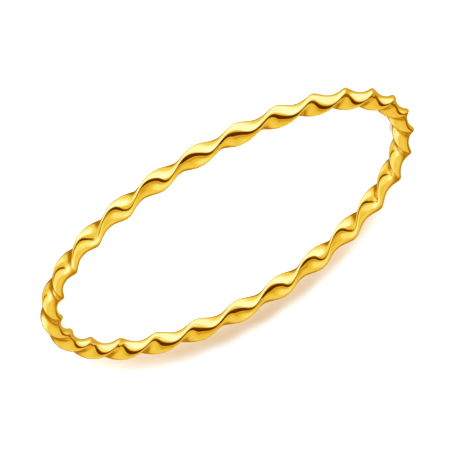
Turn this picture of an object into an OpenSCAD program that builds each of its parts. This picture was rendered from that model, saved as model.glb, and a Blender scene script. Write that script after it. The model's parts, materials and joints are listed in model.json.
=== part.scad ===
// A slim bangle: one solid bar of gold with a flat oval section, twisted evenly round its own
// axis, bent round and soldered end to end. It lies flat, with the origin on the surface that it
// rests on, under the middle of the ring. +Z is the ring's axis and +X points at one of the two
// places where the ring touches the surface.

/* [Ring] */
// Inner diameter, the clear opening for the wrist
inner_d = 58; // [50:0.5:68]
// Rise and dip of the ring's middle line, a slight warp left by bending it by hand
warp = 0.52; // [0:0.02:1]

/* [Bar] */
// Width of the bar's flat section, across its two rounded edges
bar_w = 3.44; // [2.4:0.02:5]
// Thickness of the section, across its two flats
bar_t = 1.88; // [1.4:0.02:3]
// Roundness of the section: 2 is an ellipse, more is boxier, less has keener edges
section_power = 2; // [1.6:0.1:3]

/* [Twist] */
// Half turns of the twist all the way round the ring
half_turns = 27; // [16:1:36]
// How far the hand-turned twist runs ahead of an even one, in degrees
twist_drift = 18; // [0:1:30]
// Direction in which the twist is tightest, in degrees from +X
tight_at = 16; // [0:1:359]
// Lean of the section at +X, in degrees from lying flat
start_lean = 36; // [0:1:180]

/* [Hidden] */

// Cross sections round the ring, and points round each section
stations = 324;
sides = 16;

// Radius of the ring's middle line: the bar's edges reach inwards by half its width
ring_r = inner_d / 2 + bar_w / 2;

// Turn of the section about the bar's axis at angle a round the ring, a left-handed twist
function lean(a) = start_lean + half_turns / 2 * a + twist_drift * (sin(a - tight_at) + sin(tight_at));

// Height of the middle line at angle a, lowest at +X and -X
function rise(a) = -warp * cos(2 * a);

// Half of the section along one of its two axes, as a superellipse
function bulge(half, c) = half * sign(c) * pow(abs(c), 2 / section_power);

// Point on the bar's skin: angle a round the ring, angle t round the section
function skin(a, t) =
    let (u = bulge(bar_w / 2, cos(t)))
    let (v = bulge(bar_t / 2, sin(t)))
    let (out = u * cos(lean(a)) - v * sin(lean(a)))
    let (up = u * sin(lean(a)) + v * cos(lean(a)))
    [(ring_r + out) * cos(a), (ring_r + out) * sin(a), rise(a) + up];

points = [for (i = [0 : stations - 1], j = [0 : sides - 1])
    skin(360 * i / stations, 360 * j / sides)];

// An odd number of half turns closes the ring with its section turned by half its points
seam_shift = half_turns % 2 == 0 ? 0 : sides / 2;

// Index of point j of station i, where the last station joins the first
function index(i, j) = i < stations
    ? i * sides + j % sides
    : (j + seam_shift) % sides;

// Each four-sided patch is split along the diagonal that keeps a left-handed twist full
faces = [for (i = [0 : stations - 1], j = [0 : sides - 1])
    each [
        [index(i, j), index(i, j + 1), index(i + 1, j)],
        [index(i, j + 1), index(i + 1, j + 1), index(i + 1, j)]
    ]];

lowest = min([for (p = points) p.z]);

module twisted_bar() {
    color("gold")
        translate([0, 0, -lowest])
            polyhedron(points = points, faces = faces, convexity = 8);
}

twisted_bar();
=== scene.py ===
import json
from math import atan, cos, degrees, pi, radians, sin

import bpy
from mathutils import Matrix, Vector


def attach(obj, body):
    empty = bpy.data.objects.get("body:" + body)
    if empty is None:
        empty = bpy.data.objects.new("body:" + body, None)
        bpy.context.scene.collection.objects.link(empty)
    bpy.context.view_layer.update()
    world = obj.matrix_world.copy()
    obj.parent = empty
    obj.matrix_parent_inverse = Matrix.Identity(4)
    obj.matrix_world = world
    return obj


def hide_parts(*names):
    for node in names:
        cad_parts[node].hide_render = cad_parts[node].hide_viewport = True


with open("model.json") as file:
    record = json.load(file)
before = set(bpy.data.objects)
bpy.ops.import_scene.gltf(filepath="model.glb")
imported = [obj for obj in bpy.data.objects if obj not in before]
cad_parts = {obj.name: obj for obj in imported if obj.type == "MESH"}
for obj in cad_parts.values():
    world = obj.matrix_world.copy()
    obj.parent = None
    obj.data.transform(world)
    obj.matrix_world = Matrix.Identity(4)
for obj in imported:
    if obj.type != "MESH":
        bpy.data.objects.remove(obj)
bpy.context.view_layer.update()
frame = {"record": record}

# The twisted bar: one solid bar of yellow gold with a flat oval section. It is twisted evenly
# round its own axis, bent into a ring, soldered end to end, filed flush and polished to a mirror,
# so nothing shows where its ends meet.

MM = 0.001

# The wrist opening is as long as the bar is wide
WRIST = frame["record"]["mounts"][0]
INNER_DIAMETER = 2 * WRIST["dims"]["r_mm"] * MM
BAR_WIDTH = WRIST["dims"]["length_mm"] * MM
BAR_THICKNESS = 1.88 * MM
RING_RADIUS = INNER_DIAMETER / 2 + BAR_WIDTH / 2

# Rise and dip of the ring's middle line, a slight warp left by bending it by hand
WARP = 0.52 * MM

# The twist runs ahead of an even one and falls behind it by the drift at most, as work by hand
# does, and is tightest at one angle round the ring
HALF_TURNS = 27
TWIST_DRIFT = radians(18)
TIGHT_AT = radians(16)
START_LEAN = radians(36)

# Sections round the ring and points round each, enough for reflections that run smoothly
STATIONS = 1296
SIDES = 72
SEAM_GAP = 0.001 * MM

# Noise cells in a radian of the section's doubled angle and of the ring's: long, fine buffing lines
LINES_ACROSS = 6
LINES_ALONG = 8

# Noise cells in a metre, for the shallow ripple that filing leaves and for the patches of colour
RIPPLES = 420.0
PATCHES = 160.0

# Depth of the ripple, and of the buffing lines as a share of it
RIPPLE_DEPTH = 0.01 * MM
LINE_SHARE = 0.3

# Roughness of the polish, and how much the patches and the lines add to it
POLISH = 0.02
PATCH_HAZE = 0.05
LINE_HAZE = 0.03
WARM_GOLD = (0.955, 0.615, 0.10, 1)
LIGHT_GOLD = (0.965, 0.655, 0.13, 1)


class Field:
    """A number, colour or vector that varies over a surface: one output socket of a node tree."""

    def __init__(self, tree, socket=None):
        self.tree = tree
        self.socket = socket

    def node(self, kind, settings=(), sockets=(), output=0):
        """Adds a node: first its settings or a ramp's stops, then the values or links of its sockets."""
        made = self.tree.nodes.new(kind)
        for name, value in dict(settings).items():
            if name == "stops":
                ramp = made.color_ramp
                while len(ramp.elements) < len(value):
                    ramp.elements.new(1)
                for element, (place, colour) in zip(ramp.elements, value):
                    element.position = place
                    element.color = (*colour, 1)
            else:
                setattr(made, name, value)
        for name, value in dict(sockets).items():
            if isinstance(value, Field):
                self.tree.links.new(value.socket, made.inputs[name])
            else:
                made.inputs[name].default_value = value
        return Field(self.tree, made.outputs[output]) if len(made.outputs) else made

    def out(self, name):
        return Field(self.tree, self.socket.node.outputs[name])

    def maths(self, operation, *others):
        values = dict(enumerate((self,) + others))
        return self.node("ShaderNodeMath", {"operation": operation}, values)

    def __add__(self, other):
        return self.maths("ADD", other)

    def __sub__(self, other):
        return self.maths("SUBTRACT", other)

    def __mul__(self, other):
        return self.maths("MULTIPLY", other)

    def __truediv__(self, other):
        return self.maths("DIVIDE", other)

    def __rsub__(self, other):
        return self.node("ShaderNodeMath", {"operation": "SUBTRACT"}, {0: other, 1: self})

    def __neg__(self):
        return self * -1

    __radd__ = __add__
    __rmul__ = __mul__

    def sine(self):
        return self.maths("SINE")

    def cosine(self):
        return self.maths("COSINE")

    def xyz(self, x, y, z):
        return self.node("ShaderNodeCombineXYZ", (), {"X": x, "Y": y, "Z": z})

    def step(self, low, high):
        """Rises smoothly from 0 at low to 1 at high, or falls where low is the larger of the two."""
        ends = {"Value": self, "From Min": low, "From Max": high}
        return self.node("ShaderNodeMapRange", {"interpolation_type": "SMOOTHSTEP"}, ends)

    def between(self, start, full, waning, end):
        """Rises smoothly from 0 at start to 1 at full, and falls from 1 at waning to 0 at end."""
        return self.step(start, full) * self.step(end, waning)

    def hump(self, middle, reach):
        """Rises smoothly to 1 at the middle and falls off again to 0 at the reach on either side."""
        return self.between(middle - reach, middle, middle, middle + reach)

    def blend(self, first, second):
        """Is the first colour where this is 0, and the second where it is 1."""
        colour_sockets = {"Factor": self, 6: first, 7: second}
        return self.node("ShaderNodeMix", {"data_type": "RGBA"}, colour_sockets, output=2)


def twist_tree(material):
    """Geometry Nodes that roll a flat sheet into the twisted ring, one row for each section."""
    tree = bpy.data.node_groups.new("twisted bar", "GeometryNodeTree")
    tree.interface.new_socket("Geometry", in_out="OUTPUT", socket_type="NodeSocketGeometry")
    sizes = {
        "Ring radius": RING_RADIUS,
        "Bar width": BAR_WIDTH,
        "Bar thickness": BAR_THICKNESS,
        "Warp": WARP,
        "Half turns": HALF_TURNS,
        "Twist drift": TWIST_DRIFT,
        "Tight at": TIGHT_AT,
        "Start lean": START_LEAN,
    }
    for name in sizes:
        tree.interface.new_socket(name, in_out="INPUT", socket_type="NodeSocketFloat")
    given = Field(tree).node("NodeGroupInput")

    # The sheet measures one full turn each way: along the ring and around the section
    sheet = given.node(
        "GeometryNodeMeshGrid",
        (),
        {"Size X": 2 * pi, "Size Y": 2 * pi, "Vertices X": STATIONS + 1, "Vertices Y": SIDES + 1},
    )
    place = given.node("ShaderNodeSeparateXYZ", (), {0: given.node("GeometryNodeInputPosition")})
    along = place.out("X")
    around = place.out("Y")

    tight = given.out("Tight at")
    drift = given.out("Twist drift") * ((along - tight).sine() + tight.sine())
    lean = given.out("Start lean") + given.out("Half turns") / 2 * along + drift
    across = given.out("Bar width") / 2 * around.cosine()
    through = given.out("Bar thickness") / 2 * around.sine()
    reach = given.out("Ring radius") + across * lean.cosine() - through * lean.sine()
    rise = across * lean.sine() + through * lean.cosine() - given.out("Warp") * (2 * along).cosine()

    # The section looks the same after half a turn, so its doubled angle runs on over the seam
    for name, angle in (("section_angle", 2 * around), ("ring_angle", along)):
        sheet = given.node(
            "GeometryNodeStoreNamedAttribute",
            {"data_type": "FLOAT_VECTOR"},
            {"Geometry": sheet, "Name": name, "Value": given.xyz(angle.cosine(), angle.sine(), 0)},
        )
    bar = given.node(
        "GeometryNodeSetPosition",
        (),
        {"Geometry": sheet, "Position": given.xyz(reach * along.cosine(), reach * along.sine(), rise)},
    )
    bar = given.node("GeometryNodeMergeByDistance", (), {"Geometry": bar, "Distance": SEAM_GAP})
    bar = given.node("GeometryNodeSetShadeSmooth", (), {"Geometry": bar, "Shade Smooth": True})
    bar = given.node("GeometryNodeRealizeInstances", (), {"Geometry": bar})
    bar = given.node("GeometryNodeSetMaterial", (), {"Geometry": bar, "Material": material})
    given.node("NodeGroupOutput", (), {"Geometry": bar})
    return tree, sizes


def polished_gold():
    """Rich yellow gold off the buffing wheel: fine lines along the bar under a mirror shine."""
    material = bpy.data.materials.new("polished gold")
    material.use_nodes = True
    tree = material.node_tree
    tree.nodes.clear()
    start = Field(tree)
    section = start.node("ShaderNodeAttribute", {"attribute_name": "section_angle"}, output="Vector")
    ring = start.node("ShaderNodeAttribute", {"attribute_name": "ring_angle"}, output="Vector")
    row = start.node("ShaderNodeSeparateXYZ", (), {0: section})
    turn = start.node("ShaderNodeSeparateXYZ", (), {0: ring})
    place = start.node("ShaderNodeTexCoord", output="Object")

    # The lines close on themselves: each angle is a circle in the four dimensions of the noise
    lines = start.node(
        "ShaderNodeTexNoise",
        {"noise_dimensions": "4D"},
        {
            "Vector": start.xyz(
                row.out("X") * LINES_ACROSS, row.out("Y") * LINES_ACROSS, turn.out("X") * LINES_ALONG
            ),
            "W": turn.out("Y") * LINES_ALONG,
            "Scale": 1.0,
            "Detail": 4.0,
            "Roughness": 0.6,
        },
    )
    ripple = start.node(
        "ShaderNodeTexNoise",
        (),
        {"Vector": place, "Scale": RIPPLES, "Detail": 2.0, "Roughness": 0.5},
    )
    patches = start.node(
        "ShaderNodeTexNoise",
        (),
        {"Vector": place, "Scale": PATCHES, "Detail": 3.0, "Roughness": 0.55},
    )
    colour = patches.step(0.35, 0.65).blend(WARM_GOLD, LIGHT_GOLD)
    roughness = POLISH + PATCH_HAZE * patches + LINE_HAZE * lines
    bump = start.node(
        "ShaderNodeBump",
        (),
        {"Strength": 1.0, "Distance": RIPPLE_DEPTH, "Height": ripple + LINE_SHARE * lines},
    )
    gold = start.node(
        "ShaderNodeBsdfPrincipled",
        (),
        {"Base Color": colour, "Metallic": 1.0, "Roughness": roughness, "Normal": bump},
    )
    start.node("ShaderNodeOutputMaterial", (), {"Surface": gold})
    return material


def twisted_bar():
    """The bar as a plain mesh, lifted so that its lowest crests touch the table."""
    tree, sizes = twist_tree(polished_gold())
    blank = bpy.data.objects.new("bar blank", bpy.data.meshes.new("bar blank"))
    bpy.context.scene.collection.objects.link(blank)
    twist = blank.modifiers.new("twist", "NODES")
    twist.node_group = tree
    for item in tree.interface.items_tree:
        if item.in_out == "INPUT":
            twist[item.identifier] = float(sizes[item.name])
    ready = blank.evaluated_get(bpy.context.evaluated_depsgraph_get())
    mesh = bpy.data.meshes.new_from_object(ready)
    blank.modifiers.remove(twist)
    bpy.data.objects.remove(blank)

    lowest = min(vertex.co.z for vertex in mesh.vertices)
    mesh.transform(Matrix.Translation((0, 0, -lowest)))
    piece = bpy.data.objects.new("twisted_gold_bar", mesh)
    bpy.context.scene.collection.objects.link(piece)
    return piece


bar = twisted_bar()
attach(bar, "root")
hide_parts("twisted_bar")

# The table: a plain white sheet laid flat under the bangle, wide enough to fill every view. The
# gold mirrors the studio's own idea of it, so the sheet itself is left out of reflections.

TABLE_WIDTH = 6.0
TABLE_WHITE = (0.9, 0.9, 0.9, 1)

half = TABLE_WIDTH / 2
sheet = bpy.data.meshes.new("table")
sheet_corners = [(-half, -half, 0), (half, -half, 0), (half, half, 0), (-half, half, 0)]
sheet.from_pydata(sheet_corners, [], [(0, 1, 2, 3)])
table = bpy.data.objects.new("table", sheet)
bpy.context.scene.collection.objects.link(table)
white = bpy.data.materials.new("white table")
white.use_nodes = True
paper = white.node_tree.nodes["Principled BSDF"].inputs
paper["Base Color"].default_value = TABLE_WHITE
paper["Roughness"].default_value = 0.9
paper["Specular IOR Level"].default_value = 0.0
table.data.materials.append(white)
table.visible_glossy = False

# The camera looks down on the ring from 22.6 degrees with a long lens. It is rolled more than a
# quarter turn, so that the near side of the ring shows at the top of the picture.

ELEVATION = radians(22.569)
HEADING = radians(10.15)
ROLL = radians(148.029)
DISTANCE = 60 * RING_RADIUS
SENSOR_WIDTH = 36
PICTURE_PIXELS = 452
RING_RADIUS_PIXELS = 201.87
RING_CENTRE_PIXELS = (229.46, 225.01)

turned = Matrix.Rotation(pi + HEADING, 3, "Z") @ Matrix.Rotation(pi / 2 - ELEVATION, 3, "X")
turned = turned @ Matrix.Rotation(ROLL, 3, "Z")
metres_per_pixel = RING_RADIUS / RING_RADIUS_PIXELS
ring_centre = Vector(WRIST["pos_m"])
aim = Vector((PICTURE_PIXELS / 2 - RING_CENTRE_PIXELS[0], RING_CENTRE_PIXELS[1] - PICTURE_PIXELS / 2, 0))
camera_data = bpy.data.cameras.new("camera")
camera_data.sensor_width = SENSOR_WIDTH
camera_data.lens = SENSOR_WIDTH * DISTANCE / (metres_per_pixel * PICTURE_PIXELS)
camera_data.clip_end = 2 * DISTANCE
camera = bpy.data.objects.new("camera", camera_data)
bpy.context.scene.collection.objects.link(camera)
camera.matrix_world = turned.to_4x4()
camera.location = ring_centre + turned @ (aim * metres_per_pixel + Vector((0, 0, DISTANCE)))
bpy.context.scene.camera = camera
bpy.context.scene.view_settings.view_transform = "Standard"

# The studio, as the gold mirrors it: a bright table on the camera's side with a light at either
# end, a dark gap that winds round the room over the table's edge, a pale screen at the left, and a
# dim, warm room with a dark wall straight behind. What doesn't mirror gets a warm, even light.

# Light that turns the gold from dark brown through orange and yellow to pale yellow: tone, colour
TONES = [
    (0.16, (0.12, 0.035, 0.0)),
    (0.40, (0.40, 0.205, 0.0)),
    (0.64, (0.74, 0.56, 0.10)),
    (0.75, (0.91, 0.82, 0.31)),
    (0.85, (1.00, 1.08, 0.95)),
    (0.93, (1.02, 1.32, 1.90)),
    (0.98, (1.04, 1.49, 3.20)),
    (1.00, (1.04, 1.54, 4.20)),
]
FILL_LIGHT = (0.75, 0.52, 0.27, 1)
BACKDROP = (1, 1, 1, 1)


def studio_tone(direction):
    """Tone of the studio by direction, from 0, dark, to 1, bright. All angles are in degrees."""
    parts = direction.node("ShaderNodeSeparateXYZ", (), {0: direction})
    x, y, z = parts.out("X"), parts.out("Y"), parts.out("Z")

    # Azimuth is 0 on the camera's side and grows to the right of the picture
    front = y * cos(HEADING) - x * sin(HEADING)
    side = x * cos(HEADING) + y * sin(HEADING)
    azimuth = side.maths("ARCTAN2", front) * degrees(1)
    height = z.maths("ARCSINE") * degrees(1)
    from_back = 180 - azimuth.maths("ABSOLUTE")
    straight_on = -(front * cos(ELEVATION) + z * sin(ELEVATION))
    from_straight_on = straight_on.maths("ARCCOSINE") * degrees(1)

    # The gap climbs and widens at the right. over_gap is a ray's height above the gap's middle, as a
    # share of half the gap's width
    gap_height = 6 + 35 * azimuth.hump(68, 90) + 8 * azimuth.hump(-58, 40)
    gap_reach = 8 + 11 * azimuth.hump(40, 120)
    over_gap = (height - gap_height) / gap_reach
    gap = over_gap.between(-1.3, -0.6, 0.64, 0.88) * azimuth.step(-108, -84) * from_back.step(0, 25)
    gap_tone = 0.15 + 0.17 * azimuth.step(-45, -105) + 0.16 * azimuth.step(96, 135)
    warm_edge = over_gap.hump(1.6, 1.3) * azimuth.between(-100, -20, 60, 135)

    # The table's edge sinks towards the back on both sides, and a glare lies on the table below it
    table_edge = 6 + 8 * azimuth.hump(85, 45) - 46 * azimuth.step(0, -120) - 34 * azimuth.step(95, 160)
    under_edge = table_edge - height
    table_light = under_edge.step(-6, 8) * azimuth.between(-112, -62, 85, 132)
    table_tone = 0.935 - 0.12 * height.step(-55, -85)
    glare = under_edge.step(0, 10) * azimuth.between(-98, -55, 85, 125) * height.step(-72, -42)
    left_light = azimuth.hump(-117, 29) * height.between(-24, -4, 28, 50)
    right_light = azimuth.hump(112, 30) * height.between(-64, -44, -4, 18)
    dark_corner = azimuth.hump(-128, 26) * height.hump(-30, 12)

    # The room is a little brighter low down. The bar's rims mirror the wall straight behind it
    room = 0.745 + 0.06 * height.step(-5, -40)
    rear_light = from_back.step(70, 20) * height.hump(58, 30)
    rear_gap = from_back.step(34, 8) * height.hump(0, 14)
    screen = azimuth.between(-140, -105, -50, -10) * height.between(2, 28, 62, 86)
    wall_behind = from_straight_on.step(62, 34) * (1 - 0.6 * side.step(-0.1, 0.3))

    # Tone and share of each zone, in the order in which they lie over each other
    zones = [
        (0.80, rear_light),
        (0.89, screen),
        (table_tone, table_light),
        (0.995, glare),
        (0.985, left_light),
        (0.985, right_light),
        (0.52, dark_corner),
        (0.40, wall_behind),
        (0.60, warm_edge),
        (0.48, rear_gap),
        (gap_tone, gap),
    ]
    tone = room
    for zone_tone, share in zones:
        tone = tone + share * (zone_tone - tone)
    return tone


def studio():
    """The gold mirrors the studio, the camera sees a white backdrop and the table gets the fill."""
    world = bpy.data.worlds.new("studio")
    bpy.context.scene.world = world
    world.use_nodes = True
    tree = world.node_tree
    tree.nodes.clear()
    start = Field(tree)
    tone = studio_tone(start.node("ShaderNodeTexCoord", output="Generated"))
    mirrored = start.node("ShaderNodeValToRGB", {"stops": TONES}, {"Fac": tone})
    path = start.node("ShaderNodeLightPath")
    unmirrored = path.out("Is Camera Ray").blend(FILL_LIGHT, BACKDROP)
    light = path.out("Is Glossy Ray").blend(unmirrored, mirrored)
    glow = start.node("ShaderNodeBackground", (), {"Color": light, "Strength": 1.0})
    start.node("ShaderNodeOutputWorld", (), {"Surface": glow})


studio()

# The lamps light only the table. A low strip of cool lamps on the camera's side throws the ring's
# soft shadow away from the camera, and a lamp straight above clears it from inside the ring.

STRIP_HEIGHT = radians(13)
STRIP_TURNS = [radians(turn) for turn in (-18, -11, -4, 3, 10)]
STRIP_POWER = 21.8
STRIP_COLOUR = (0.52, 0.77, 1.0)
STRIP_SPREAD = radians(7)
TOP_LAMP_HEIGHT = 0.6
TOP_LAMP_POWER = 22.0
TOP_LAMP_RADIUS = 0.02


def lamp(name, kind, power, colour, place):
    """A lamp that points at the middle of the ring and doesn't show in the gold."""
    data = bpy.data.lights.new(name, kind)
    data.energy = power
    data.color = colour
    made = bpy.data.objects.new(name, data)
    bpy.context.scene.collection.objects.link(made)
    made.location = place
    made.rotation_mode = "QUATERNION"
    made.rotation_quaternion = (-place).to_track_quat("-Z", "Y")
    made.visible_glossy = False
    return data


for turn in STRIP_TURNS:
    heading = HEADING + pi / 2 + turn
    level = cos(STRIP_HEIGHT)
    place = Vector((level * cos(heading), level * sin(heading), sin(STRIP_HEIGHT)))
    strip = lamp("strip lamp", "SUN", STRIP_POWER / len(STRIP_TURNS), STRIP_COLOUR, place)
    strip.angle = STRIP_SPREAD

top = lamp("top lamp", "SPOT", TOP_LAMP_POWER, (1, 1, 1), Vector((0, 0, TOP_LAMP_HEIGHT)))
top.spot_size = 2 * atan(RING_RADIUS / TOP_LAMP_HEIGHT)
top.spot_blend = 0.1
top.shadow_soft_size = TOP_LAMP_RADIUS
